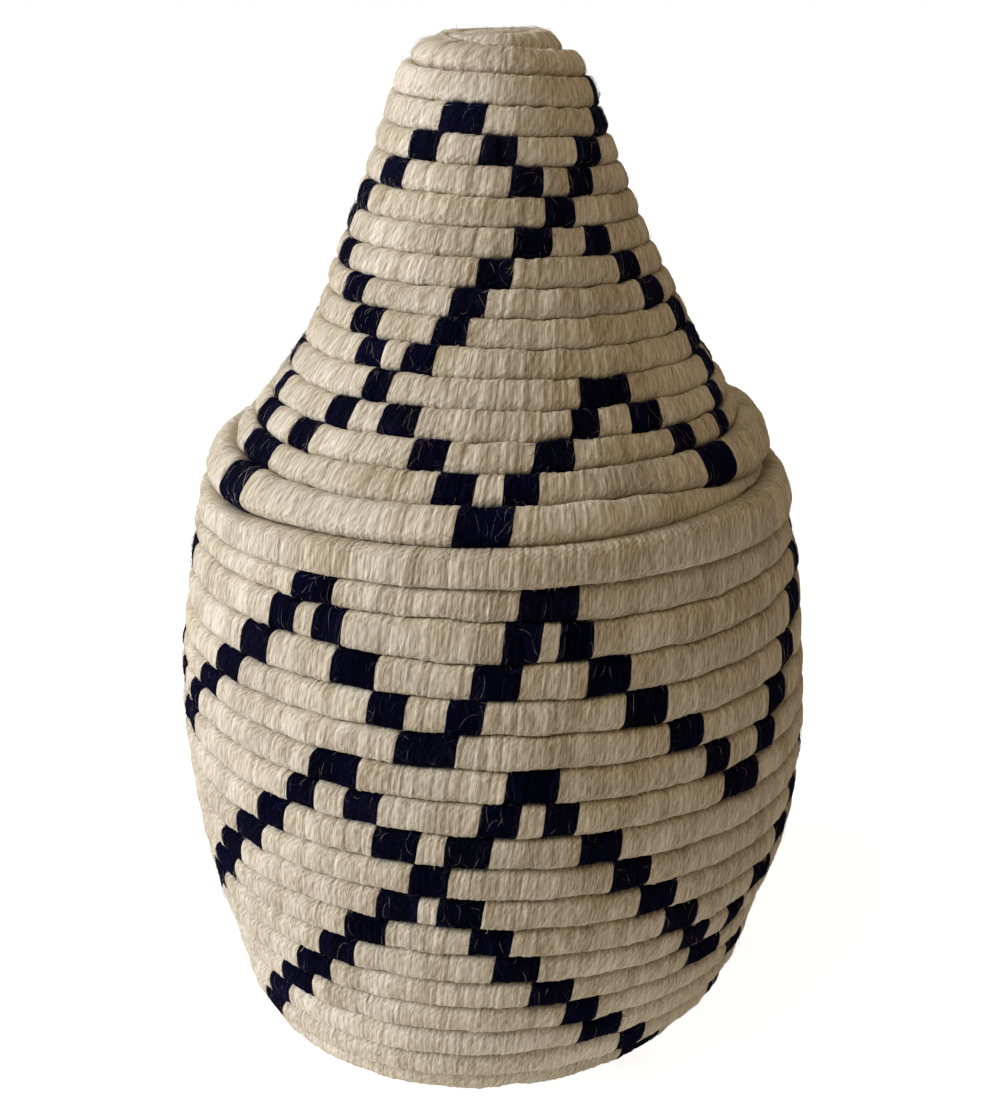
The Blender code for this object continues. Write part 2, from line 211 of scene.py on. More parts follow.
def smoothPath(corners):
    ends = [2 * Vector(corners[0]) - Vector(corners[1])] + [Vector(c) for c in corners]
    ends.append(2 * ends[-1] - ends[-2])
    path = []
    for a, b, c, d in zip(ends, ends[1:], ends[2:], ends[3:]):
        tb = sqrt((b - a).length)
        tc = tb + sqrt((c - b).length)
        td = tc + sqrt((d - c).length)
        steps = ceil((c - b).length / (0.5 * mm))
        for k in range(steps):
            t = tb + (tc - tb) * k / steps
            ab = a.lerp(b, t / tb)
            bc = b.lerp(c, (t - tb) / (tc - tb))
            cd = c.lerp(d, (t - tc) / (td - tc))
            path.append(ab.lerp(bc, t / tc).lerp(bc.lerp(cd, (t - tb) / (td - tb)), (t - tb) / (tc - tb)))
    path.append(ends[-2])
    return path


class CoilProfile:
    def __init__(self, corners):
        self.path = smoothPath(corners)
        self.reach = [0.0]
        for a, b in zip(self.path, self.path[1:]):
            self.reach.append(self.reach[-1] + (b - a).length)
        points = np.array(self.path)
        slope = np.gradient(points, axis=0)
        self.radii, self.heights = points.T
        self.leans = np.unwrap(np.arctan2(slope[:, 0], slope[:, 1]))

    def at(self, distance):  # radius, height and lean from +Z towards outward
        low = min(max(bisect_right(self.reach, distance) - 1, 0), len(self.path) - 2)
        a, b = self.path[low], self.path[low + 1]
        share = (distance - self.reach[low]) / (self.reach[low + 1] - self.reach[low])
        point = a.lerp(b, share)
        return point.x, point.y, atan2(b.x - a.x, b.y - a.y)


def halfWidth(size, lean, direction):
    offFlat = (direction - lean + pi / 6) % (pi / 3) - pi / 6
    return size / 2 / cos(pi / 6) * cos(pi / 6 - abs(offFlat))


def against(profile, distanceBelow, sizeBelow, size):
    radiusBelow, heightBelow, leanBelow = profile.at(distanceBelow)
    distance = distanceBelow + (sizeBelow + size) / 2 + rowGap
    for _ in range(5):
        radius, height, lean = profile.at(distance)
        step = Vector((radius - radiusBelow, height - heightBelow))
        direction = atan2(step.x, step.y)
        reach = halfWidth(sizeBelow, leanBelow, direction) + halfWidth(size, lean, direction)
        gap = rowGap + spiralSlopeGap * (size / radius) ** spiralSlopePower
        distance += reach + gap - step.length
    return distance


# Distance along the profile and thickness at each point: every loop lies against the one before it,
# the first grows from a tail, and the last thins to one so that its free side stays level
def coilSizes(coil, profile):
    distances, sizes = [], []
    loops = coil["loops"]

    def place(i, size):
        if i < loopPoints:
            clear = (coilTail + spiralSlopeGap) * i / loopPoints
            return coil["knot"] + rowGap + clear + size / 2 / cos(pi / 6)
        return against(profile, distances[i - loopPoints], sizes[i - loopPoints], size)

    def levelSize(i):
        thin, thick = 0.0, coil["lastThick"]
        for _ in range(30):
            size = (thin + thick) / 2
            _, height, lean = profile.at(place(i, size))
            if coil["side"] * (height + coil["side"] * halfWidth(size, lean, 0) - coil["level"]) > 0:
                thick = size
            else:
                thin = size
        return size

    for i in range(loops * loopPoints + 1):
        turn = i / loopPoints
        growth = max(0.0, min(1.0, 2 * (turn - (loops - 1.5))))
        size = coil["thick"] + (coil["lastThick"] - coil["thick"]) * growth * growth * (3 - 2 * growth)
        if turn < 1:
            size = coilTail + (coil["thick"] - coilTail) * turn
        if growth > 0:
            size = min(size, levelSize(i))
        if size < coilTail:
            break
        distances.append(place(i, size))
        sizes.append(size)
    return np.array(distances), np.array(sizes)


# A smooth curve through values given at each of the loop's points
def easeAlong(values, turn):
    place = np.clip(turn * loopPoints, 0, len(values) - 1.000001)
    i = place.astype(int)
    f = place - i
    last = len(values) - 1
    a, b, c, d = (values[np.clip(i + k, 0, last)] for k in (-1, 0, 1, 2))
    return b + f * (c - a + f * (2 * a - 5 * b + 4 * c - d + f * (3 * (b - c) + d - a))) / 2


# How a thinning tail's room goes to the row before: the share at once, the rest, the turns that the rest
# takes, and how thin the tail stays
tailMerge = {"first": 0.85, "rest": 0.15, "restTurns": 0.12, "thinnest": 1.2 * mm}


# One coil as continuous functions of the turn, counted in loops from its start
class Coil:
    def __init__(self, settings):
        self.s = settings
        self.profile = CoilProfile(settings["profile"])
        self.distances, self.sizes = coilSizes(settings, self.profile)
        if "mergeTo" in settings:
            self.thinTail(settings["mergeFrom"], settings["mergeTo"])
        if "spread" in settings:
            before, after = np.array(settings["spread"]).T * mm
            self.distances = np.interp(self.distances, before, after)
        self.end = (len(self.sizes) - 1) / loopPoints
        self.way = settings["way"]
        self.start = settings["lastAngle"] - self.way * ((settings["loops"] - 1) + 0.5 / loopPoints) * 2 * pi
        rng = np.random.default_rng(settings["seed"])
        self.rng = rng
        self.waves = [(rng.uniform(2.5, 34, 9), rng.uniform(0, 2 * pi, 9)) for _ in range(2)]

    # The last row gives most of its room to the row before it, so that its tail ends one turn after mergeTo
    def thinTail(self, mergeFrom, mergeTo):
        last = len(self.sizes) - 1
        for i in range(ceil(mergeFrom * loopPoints), last - loopPoints + 1):
            under = i + loopPoints
            take = self.sizes[under] * smoothStep(mergeFrom, mergeTo, i / loopPoints)
            rest = smoothStep(mergeTo, mergeTo + tailMerge["restTurns"], i / loopPoints)
            kept = (tailMerge["first"] + tailMerge["rest"] * rest) * take
            self.sizes[i] += kept
            self.distances[i] += kept / 2
            self.sizes[under] -= take
            self.distances[under] += take / 2
        keep = ceil((mergeTo + 1) * loopPoints) + 1
        self.distances = self.distances[:keep]
        self.sizes = np.maximum(self.sizes[:keep], tailMerge["thinnest"])

    def angle(self, turn):
        return self.start + self.way * 2 * pi * turn

    def size(self, turn):
        return easeAlong(self.sizes, turn)

    def centre(self, turn):
        distance = easeAlong(self.distances, turn)
        profile = self.profile
        radius = np.interp(distance, profile.reach, profile.radii) * chordShare
        height = np.interp(distance, profile.reach, profile.heights)
        return radius, height, np.interp(distance, profile.reach, profile.leans)

    def wave(self, which, turn):
        rates, phases = self.waves[which]
        return np.sin(turn[..., None] * rates * 2 * pi + phases).sum(-1) / 3

    def turnAt(self, degrees, row):
        return row + frontPlace + self.way * degrees / 360


# A coil of one loop for the ring inside the lid's foot
class Ring(Coil):
    def __init__(self, settings):
        self.s = settings
        self.end = 1.0
        self.way = -1
        self.start = 0.0
        rng = np.random.default_rng(settings["seed"])
        self.rng = rng
        self.waves = [(rng.integers(2, 30, 9), rng.uniform(0, 2 * pi, 9)) for _ in range(2)]

    def size(self, turn):
        return np.full_like(turn, self.s["thick"])

    def centre(self, turn):
        radius, height = (np.full_like(turn, self.s[key]) for key in ("radius", "height"))
        return radius, height, np.zeros_like(turn)


# The strands of a coil: where each begins, and which are navy
def layStrands(coil):
    turn, starts = 0.0, [0.0]
    yarn, vary = coil.s["yarn"], wrap["yarnVary"]
    while turn < coil.end:
        radius = coil.centre(np.array([turn]))[0][0]
        turn += yarn * coil.rng.uniform(1 - vary, 1 + vary) / (2 * pi * radius)
        starts.append(turn)
    starts[-1] = coil.end
    return np.array(starts)


def navyStrands(coil, starts, zigzags):
    blocks = coil.s["blocks"]
    middles = (starts[1:] + starts[:-1]) / 2
    radii = coil.centre(middles)[0] + coil.size(middles) / 2
    navy = np.zeros(len(middles), bool)
    for line in zigzags:
        rows = [row for _, row in line]
        turns = [b for a, b, c in zip(rows, rows[1:], rows[2:]) if (b - a) * (c - b) < 0]
        turns += [rows[0], rows[-1]]
        for (a0, r0), (a1, r1) in zip(line, line[1:] or line):
            for row in range(ceil(min(r0, r1)), int(max(r0, r1)) + 1):
                degrees = a0 + (a1 - a0) * (row - r0) / ((r1 - r0) or 1)
                far = min(abs(row - turn) for turn in turns)
                half = blocks["turn" if far < 1 else "beside" if far < 2 else "leg"]
                half *= coil.rng.uniform(*wrap["blockVary"])
                navy |= np.abs(middles - coil.turnAt(degrees, row)) * 2 * pi * radii < half
    return navy


# Directions in the radius and height plane, for each turn: towards the next row, towards the row
# before, and outward; with the half heights that the row has to each side
def sectionFrames(coil, turn):
    radius, height, lean = coil.centre(turn)
    size = coil.size(turn)
    along = np.stack([np.sin(lean), np.cos(lean)], -1)
    here = np.stack([radius, height], -1)
    hasNext = turn + 1 <= coil.end
    hasBefore = turn >= 1
    if isinstance(coil, Ring):
        hasNext = hasBefore = np.zeros(len(turn), bool)

    def side(other, there, alone):
        r, z, _ = coil.centre(other)
        to = np.stack([r, z], -1) - here
        far = np.linalg.norm(to, axis=-1)
        share = size / (size + coil.size(other))
        half = np.where(there, far * share + wrap["overlap"], size / 2)
        way = np.where(there[:, None], to / np.maximum(far, 1e-9)[:, None], alone)
        return way, half

    up, upHalf = side(np.minimum(turn + 1, coil.end), hasNext, along)
    down, downHalf = side(np.maximum(turn - 1, 0), hasBefore, -along)
    if "knotSide" in coil.s:  # the first loop lies against the start knot
        toKnot = easeAlong(coil.distances, turn) - coil.s["knotSide"]
        downHalf = np.where(turn < 1, np.maximum(downHalf, toKnot), downHalf)
    wobble = wrap["boundaryWobble"] * np.clip(radius / wrap["calmRadius"], wrap["leastWobble"], 1)
    upHalf = upHalf + np.where(hasNext, coil.wave(0, turn) * wobble, 0)
    downHalf = downHalf - np.where(hasBefore, coil.wave(0, turn - 1) * wobble, 0)
    axis = up - down
    axis /= np.linalg.norm(axis, axis=-1)[:, None]
    out = np.stack([axis[:, 1], -axis[:, 0]], -1) * (-coil.way)
    return here, size, up, upHalf, down, downHalf, out


outSteps, inSteps = 12, 6
strandPhases = [0.0, 0.22, 0.5, 0.78]
strandShape = [-1.0, -0.12, 0.12, -0.12]  # height of the strand at those phases, in groove depths
columnsPerStrand = len(strandPhases)


# Points round a row's section at each turn: angles from the next row's side, over the outside
def sectionPoints(coil, turn, around, lift, slantShare):
    here, size, up, upHalf, down, downHalf, out = sectionFrames(coil, turn)
    c, s = np.cos(around), np.sin(around)
    seatFrom, seatFull = (coil.end - before for before in wrap["seatTurns"])
    seat = smoothStep(seatFrom, seatFull, turn) if coil.s.get("level") else 0 * turn
    power = wrap["flatness"] + (wrap["seatFlatness"] - wrap["flatness"]) * seat[:, None] * (c > 0)
    flatC = np.sign(c) * np.abs(c) ** power
    flatS = np.sign(s) * np.abs(s) ** power
    depth = np.where(s > 0, wrap["outDepth"], wrap["inDepth"])[:, None] * size / 2
    reach = wrap["crestWobble"] * coil.wave(1, turn) + coil.s.get("lastReach", 0) * seat
    depth = depth.T + reach[:, None] * (s > 0)
    upward, downward = up * upHalf[:, None], down * downHalf[:, None]
    toward = np.where((c > 0)[None, :, None], upward[:, None], downward[:, None])
    offset = toward * np.abs(flatC)[..., None] + out[:, None] * (depth * flatS)[..., None]
    # outward normal of the section
    steep = 2 - power
    tall = np.where(c > 0, upHalf[:, None], downHalf[:, None])
    nAlong = np.sign(c) * np.abs(c) ** steep / tall
    nOut = np.sign(s) * np.abs(s) ** steep / depth
    axis = (up - down) / np.linalg.norm(up - down, axis=-1)[:, None]
    normal = axis[:, None] * nAlong[..., None] + out[:, None] * nOut[..., None]
    normal /= np.linalg.norm(normal, axis=-1)[..., None]
    plane = here[:, None] + offset + normal * lift[..., None]
    slant = coil.s["slant"] * slantShare[:, None] * c[None, :] * (-coil.way)
    angle = coil.angle(turn)[:, None] + slant / np.maximum(plane[..., 0], 4 * mm)

    def turned(flat):
        return np.stack([flat[..., 0] * np.cos(angle), flat[..., 0] * np.sin(angle), flat[..., 1]], -1)

    return turned(plane), turned(normal)


# The hand-made one's tilt and lean, applied to every point of the basket or of the lid
def settle(points, body):
    x, y, z = (points[..., k].copy() for k in range(3))
    radius = np.maximum(np.hypot(x, y), 1e-6)
    turned = np.degrees(np.arctan2(x, -y))

    def grown(name, value):
        return smoothStep(*settling[name], value)

    def aside(degrees):
        return (turned - degrees + 180) % 360 - 180

    free = smoothStep(*settling["bellRadii"][body], radius)
    for degrees, wide, height, below, above, out, rise in bells["seat"] + bells[body]:
        far = (z - height) / np.where(z < height, below, above)
        bell = np.exp(-((aside(degrees) / wide) ** 2) - far**2) * free
        points[..., 0] += out * bell * x / radius
        points[..., 1] += out * bell * y / radius
        points[..., 2] += rise * bell
    if body == "basket":
        points[..., 2] += settling["seatTilt"] * x * grown("seatTiltHeights", z)
        low = 1 - grown("baseLiftHeights", z)
        points[..., 2] += settling["baseLift"] * grown("baseLiftAcross", x) * low
        shoulder = grown("rimRadii", radius) * grown("rimHeights", z)
        for degrees, wide, rise in rimSwells:
            points[..., 2] += rise * np.exp(-((aside(degrees) / wide) ** 2)) * shoulder
        return points

    # the lid's top is flat, the rows round it slope evenly, and the foot's outer edge sags over the rim
    tilt = settling["seatTilt"] + (settling["lidTilt"] - settling["seatTilt"]) * grown("lidTiltHeights", z)
    crown = (1 - grown("crownRadii", radius)) * grown("crownHeights", z)
    skirt = grown("skirtRadii", radius) * (1 - grown("skirtHeights", z))
    points[..., 2] += settling["crownRise"] * grown("crownRiseHeights", z)
    rise = (settling["crownTop"] - points[..., 2]) * settling["crownFlat"]
    points[..., 2] += np.maximum(rise, 0) * crown
    points[..., 2] = np.minimum(points[..., 2], settling["crownTop"])
    heights, radii = np.array(crownOutline).T
    reach = np.maximum(np.hypot(points[..., 0], points[..., 1]), 1e-6)
    off = reach - np.interp(points[..., 2], heights, radii)
    near = np.exp(-((off / settling["crownSmoothReach"]) ** 2))
    pull = settling["crownSmooth"] * near * grown("crownSmoothHeights", points[..., 2])
    points[..., :2] *= (1 - off * pull / reach)[..., None]
    crownShift = settling["crownShift"] * grown("crownShiftHeights", points[..., 2])
    points[..., 0] += settling["lidShift"] + crownShift
    points[..., 2] += tilt * x - settling["skirtDrop"] * skirt
    return points


def meshObject(name, points, corners, counts, slots, materials):
    mesh = bpy.data.meshes.new(name)
    mesh.vertices.add(len(points))
    mesh.vertices.foreach_set("co", points.astype(np.float32).ravel())
    mesh.loops.add(len(corners))
    mesh.loops.foreach_set("vertex_index", corners.astype(np.int32))
    mesh.polygons.add(len(counts))
    mesh.polygons.foreach_set("loop_start", (np.cumsum(counts) - counts).astype(np.int32))
    for material in materials:
        mesh.materials.append(material)
    mesh.polygons.foreach_set("material_index", slots.astype(np.int32))
    mesh.update(calc_edges=True)
    mesh.shade_smooth()
    item = bpy.data.objects.new(name, mesh)
    bpy.context.scene.collection.objects.link(item)
    return item


def numbersOn(mesh, name, domain, values):
    layer = mesh.attributes.new(name, "FLOAT", domain)
    layer.data.foreach_set("value", values.astype(np.float32))


def mapOn(mesh, name, uv):
    layer = mesh.uv_layers.new(name=name)
    layer.data.foreach_set("uv", uv.astype(np.float32).ravel())


# Soft random unevenness over the columns and steps of a row's outer side, none at its two edges
def lumps(rng, columns):
    rough = rng.normal(0, 1, (columns + 8, outSteps + 5))
    for _ in range(2):
        rough = (rough[:-2] + 2 * rough[1:-1] + rough[2:]) / 4
        rough = (rough[:-2] + 2 * rough[1:-1] + rough[2:]) / 4
        rough = (rough[:, :-2] + 2 * rough[:, 1:-1] + rough[:, 2:]) / 4
    edges = np.sin(np.linspace(0, pi, outSteps + 1)) ** 0.5
    return rough / rough.std() * wrap["lumps"] * edges


# Where a length's faces lie in the map for baking, as shares of it
bakeMap = {"edge": 0.004, "strips": 0.97, "capPlaces": [(0.2, 0.985), (0.6, 0.985)], "capRadius": 0.008}
# How dark the painted shade in the grooves between strands is, and how fast the painted shade in the
# crevices between rows fades, outside and inside
crevicePaintedShade = {"groove": 0.78, "outFade": 14, "inFade": 10}


def gridOf(*ranges):
    return (part.ravel() for part in np.meshgrid(*ranges, indexing="ij"))


# One length of coil as wrapped strands. Its outer side has every column of points, and the inner
# side, which shows less, every second one.
def wrapLength(name, coil, starts, navy, tones, lifts, materials):
    strands = len(starts) - 1
    phases = np.array(strandPhases)
    turn = np.append((starts[:-1, None] + np.diff(starts)[:, None] * phases).ravel(), starts[-1])
    columns = len(turn)
    shape = np.append(np.tile(strandShape, strands), strandShape[0])
    strandOf = np.minimum(np.arange(columns) // columnsPerStrand, strands - 1)
    lift = shape * wrap["groove"] + np.where(shape > -1, lifts[strandOf], 0)
    fan = wrap["fanOut"] * (coil.wave(0, turn * 3) + coil.wave(1, turn * 2))
    slantShare = 1 + fan + np.where(shape > -1, wrap["fanVary"] * lifts[strandOf] / wrap["yarnLift"], 0)
    outer = np.linspace(0, pi, outSteps + 1)
    inner = pi + np.linspace(0, pi, inSteps + 1)[1:-1]
    half = slice(0, None, 2)
    outLift = lift[:, None] + lumps(coil.rng, columns)
    inLift = np.repeat(lift[half, None], len(inner), 1)
    outPoints, outNormals = sectionPoints(coil, turn, outer, outLift, slantShare)
    inPoints, _ = sectionPoints(coil, turn[half], inner, inLift, slantShare[half])
    for side in (outPoints, inPoints):
        settle(side, coil.s["body"])
        side[..., 2] = np.maximum(side[..., 2], 0)
    points = np.concatenate([outPoints.reshape(-1, 3), inPoints.reshape(-1, 3)])

    rim, inside = outSteps + 1, inSteps - 1
    base = columns * rim

    def outAt(column, k):
        return column * rim + k

    def inAt(pair, k):  # k from 1, on the row-before side, to the last one before inSteps
        return base + pair * inside + k - 1

    # faces as corners, each with its vertex, its column and its place round the row: four-sided ones
    # outside and inside, and three-sided ones where the two meet
    square = ((0, 0), (1, 0), (1, 1), (0, 1))
    pairs = (columns - 1) // 2
    j, k = gridOf(range(columns - 1), range(outSteps))
    faces = [[(outAt(j + a, k + b), j + a, (k + b) / (2 * outSteps)) for a, b in square]]
    m, k = gridOf(range(pairs), range(1, inSteps - 1))
    faces.append([(inAt(m + a, k + b), 2 * (m + a), 0.5 + (k + b) / (2 * inSteps)) for a, b in square])
    m = np.arange(pairs)

    def corner(vertex, ahead, place):
        return vertex, 2 * m + ahead, np.full(pairs, place)

    lowA, lowB, lowC = (corner(outAt(2 * m + a, outSteps), a, 0.5) for a in range(3))
    topA, topB, topC = (corner(outAt(2 * m + a, 0), a, 1.0) for a in range(3))
    inA, inC = (corner(inAt(m + a, 1), 2 * a, 0.5 + 0.5 / inSteps) for a in range(2))
    endA, endC = (corner(inAt(m + a, inSteps - 1), 2 * a, 1 - 0.5 / inSteps) for a in range(2))
    faces += [
        [lowA, lowB, inA], [lowB, inC, inA], [lowB, lowC, inC],
        [endA, topB, topA], [endA, endC, topB], [endC, topC, topB],
    ]
    tables = [[np.stack(part, 1) for part in zip(*corners)] for corners in faces]
    vertexAt, columnAt, aroundAt = (np.concatenate([t[part].ravel() for t in tables]) for part in range(3))
    counts = np.concatenate([np.full(len(t[0]), t[0].shape[1]) for t in tables])
    faceStrand = np.concatenate([t[1].min(1) for t in tables]) // columnsPerStrand
    outRing, inRing = np.arange(rim), base + np.arange(inside)
    capStart = np.append(outRing, inRing)
    capEnd = np.append(outAt(columns - 1, outRing), inRing + pairs * inside)[::-1]
    allStrands = np.append(faceStrand, [0, strands - 1])
    item = meshObject(
        name, points, np.concatenate([vertexAt, capStart, capEnd]), np.append(counts, [len(capStart)] * 2),
        navy[allStrands], materials)

    # maps: one in millimetres along and round the coil, one in strands, and one cut into strips for baking
    radius, size = coil.centre(turn)[0], coil.size(turn)
    run = np.append(0, np.cumsum(np.diff(turn) * 2 * pi * (radius[1:] + radius[:-1]) / 2))
    capShare = np.linspace(0, 2 * pi, len(capStart), endpoint=False)
    cap = np.stack([np.cos(capShare), np.sin(capShare)], 1)
    capLay = np.concatenate([cap * 3, cap * 3 + [run[-1] / mm, 0]])
    strandAt = np.append((np.arange(strands)[:, None] + phases).ravel(), strands)
    over = aroundAt * pi * size[columnAt] / mm
    for mapName, along in (("woolLay", run / mm), ("strandLay", strandAt)):
        mapOn(item.data, mapName, np.concatenate([np.stack([along[columnAt], over], 1), capLay]))

    strips = max(1, round(sqrt(run[-1] / (pi * size.mean()))))
    perStrip = ceil(strands / strips)
    strip = np.repeat(faceStrand // perStrip, counts)
    firstColumn = strip * perStrip * columnsPerStrand
    lastColumn = np.minimum(firstColumn + perStrip * columnsPerStrand, columns - 1)
    across = (run[columnAt] - run[firstColumn]) / (run[lastColumn] - run[firstColumn])
    edge, tall = bakeMap["edge"], bakeMap["strips"] / strips
    u = edge + (1 - 2 * edge) * across
    v = strip * tall + edge / 2 + (tall - edge) * aroundAt
    capUv = np.repeat(bakeMap["capPlaces"], len(cap), 0) + np.concatenate([cap, cap]) * bakeMap["capRadius"]
    mapOn(item.data, "OFBake", np.concatenate([np.stack([u, v], 1), capUv]))
    item.data.uv_layers.active = item.data.uv_layers["OFBake"]

    # painted shade: how deep each point lies in a crevice between rows or in the groove between two strands,
    # which darkens its colour
    groove = np.where(shape <= -1, crevicePaintedShade["groove"], 0.0)
    outPaintedShade = np.maximum(np.abs(np.cos(outer)) ** crevicePaintedShade["outFade"], groove[:, None])
    inPaintedShade = np.tile(np.abs(np.cos(inner)) ** crevicePaintedShade["inFade"], len(inPoints))
    numbersOn(item.data, "paintedShade", "POINT", np.append(outPaintedShade, inPaintedShade))
    numbersOn(item.data, "strandTone", "FACE", tones[allStrands])
    return item, outPoints, outNormals, turn


knots = {
    "base_start_knot": {"radius": 9.4 * mm, "thick": 12 * mm, "height": 6 * mm, "body": "basket", "seed": 5},
    "lid_start_knot": {"radius": 12.4 * mm, "thick": 10.8 * mm, "height": 0.3862, "body": "lid", "seed": 6},
}
# A knot's outline from the middle to its edge, in shares of its radius and thickness
knotOutline = [(0.10, 0.5), (0.35, 0.5), (0.62, 0.47), (0.82, 0.38), (0.95, 0.22)]
knotStrand = 2.4 * mm
knotGroove = 0.35 * mm


# The disc that a coil starts from, wrapped with yarn through its middle
def wrappedKnot(name, knot, materials):
    rng = np.random.default_rng(knot["seed"])
    strands = round(2 * pi * knot["radius"] * 0.8 / knotStrand)
    around = np.linspace(0, 2 * pi, strands * columnsPerStrand + 1)
    starts, ends = around[:-1], around[1:]
    shape = np.tile(strandShape, strands)
    tones = rng.uniform(0, 1, strands)
    rings = knotOutline + [(1, 0)] + [(share, -z) for share, z in knotOutline[::-1]]
    points = []
    for share, z in rings:
        lift = shape * knotGroove * min(1, share * 1.6)
        r = knot["radius"] * share + lift * (abs(z) < 0.45)
        up = knot["height"] + z * knot["thick"] + np.sign(z) * lift * (abs(z) > 0.3)
        points.append(np.stack([r * np.cos(starts), r * np.sin(starts), up], 1))
    middles = [[(0, 0, knot["height"] + side * 0.46 * knot["thick"])] for side in (1, -1)]
    points = settle(np.concatenate(points + middles), knot["body"])
    points[:, 2] = np.maximum(points[:, 2], 0)
    n = len(starts)
    j = np.arange(n)
    last = len(rings) - 1

    def spot(share, at, side):  # the top half maps to the left disc, the lower to the right one
        far = 0.235 * (0.02 + 0.98 * share)
        return np.stack([0.25 + 0.5 * side + far * np.cos(at), 0.5 + far * np.sin(at)], 1)

    faces, uv = [], []
    steps = [(j, starts), ((j + 1) % n, ends)]
    for q in range(last):
        corners = [(ring, *steps[step]) for ring, step in ((q, 0), (q + 1, 0), (q + 1, 1), (q, 1))]
        faces.append(np.stack([ring * n + at for ring, at, _ in corners], 1).ravel())
        places = [spot(rings[ring][0], angle, q >= len(knotOutline)) for ring, _, angle in corners]
        uv.append(np.stack(places, 1).reshape(-1, 2))
    for side, ring, ways in ((0, 0, steps), (1, last, steps[::-1])):
        centre = np.full(n, len(rings) * n + side)
        faces.append(np.stack([centre] + [ring * n + at for at, _ in ways], 1).ravel())
        places = [spot(rings[0][0], angle, side) for _, angle in ways]
        uv.append(np.stack([np.repeat([[0.25 + 0.5 * side, 0.5]], n, 0)] + places, 1).reshape(-1, 2))
    owner = np.tile(j // columnsPerStrand, last + 2)
    counts = np.repeat([4, 3], [n * last, 2 * n])
    uv = np.concatenate(uv)
    item = meshObject(name, points, np.concatenate(faces), counts, np.zeros(len(counts)), materials[:1])
    for mapName, size in (("woolLay", 40), ("strandLay", 16), ("OFBake", 1)):
        mapOn(item.data, mapName, uv * size)
    item.data.uv_layers.active = item.data.uv_layers["OFBake"]
    # painted shade in the grooves between the knot's strands, and full painted shade at its two middles
    paintedShade = np.tile(np.where(shape <= -1, 0.75, 0.0), len(rings))
    numbersOn(item.data, "paintedShade", "POINT", np.append(paintedShade, [1, 1]))
    numbersOn(item.data, "strandTone", "FACE", tones[owner])
    return item


# Materials

# A node with its settings and inputs. A node given as an input stands for its first output.
def addNode(tree, kind, settings=None, links=None):
    node = tree.nodes.new("ShaderNode" + kind)
    for name, value in (settings or {}).items():
        setattr(node, name, value)
    for name, value in (links or {}).items():
        if isinstance(value, bpy.types.Node):
            value = value.outputs[0]
        if isinstance(value, bpy.types.NodeSocket):
            tree.links.new(value, node.inputs[name])
        else:
            node.inputs[name].default_value = value
    return node


def newWool(name, sockets):
    material = bpy.data.materials.new(name)
    material.use_nodes = True
    shader = material.node_tree.nodes["Principled BSDF"]
    for socket, value in sockets.items():
        shader.inputs[socket].default_value = linear(value) if isinstance(value, str) else value
    return material, shader


# Hand-spun two-ply sheep's wool: matt, with a soft halo of fibre at the edges (sheen), strands of
# slightly different cream, fibres along each strand and brown painted shade in the crevices between rows
wool = {
    "fibre": (0.56, 4.2),  # mm across and along the strand; real fibres are 0.03 across, too fine to show
    "fuzz": (1.1, 1.6), "fleece": 38,  # mm from one tuft or length of fleece to the next
    "twist": 3.4, "twistWander": 1.1,  # mm along the strand from one ply to the next, and how far it wanders
    "plyFlatness": 0.6, "twistBump": 0.30, "twistDistance": 0.35 * mm,
    "bump": 0.78, "bumpDistance": 0.36 * mm, "fuzzHeight": 0.8,  # fuzz stands this much as high as fibres
    "strandApart": 37.0,  # so that no strand's fibres run on in the next
    "paintedShadeFrom": 0.25,  # depth in a crevice from which it darkens
    # how much each makes the wool darker and paler, as shares of the way between its shades
    "fibreTone": (-0.50, 0.50), "fuzzTone": (-0.14, 0.14), "fleeceTone": (-0.2, 0.2),
    # the twist's tone is painted shade in the creases between plies, with a paler colour on their crowns
    "twistPaintedShade": (-0.24, 0.12), "hue": (0.495, 0.505), "saturation": (0.88, 1.12),
}
noiseRange = (0.3, 0.7)  # where nearly all of a noise texture's values lie
# Each kind has a dark colour and an amount of painted shade for the crevices between rows and the grooves
# between strands
yarnKinds = {
    "undyed cream wool yarn, hand wound": {
        "shades": ("#9c8d72", "#cdc3ad", "#eee7d6"), "paintedShade": "#6b583e", "paintedShadeAmount": 0.33,
        "strandTone": (0.34, 0.66), "sockets": {
            "Roughness": 0.9, "IOR": 1.45, "Specular IOR Level": 0.12,
            "Sheen Weight": 0.35, "Sheen Roughness": 0.45, "Sheen Tint": "#fff2dc"},
    },
    "navy dyed wool yarn, hand wound": {
        "shades": ("#03030c", "#070718", "#0f0f2c"), "paintedShade": "#010106", "paintedShadeAmount": 0.5,
        "strandTone": (0.3, 0.7), "sockets": {"Roughness": 0.9, "IOR": 1.45, "Specular IOR Level": 0.02},
    },
}


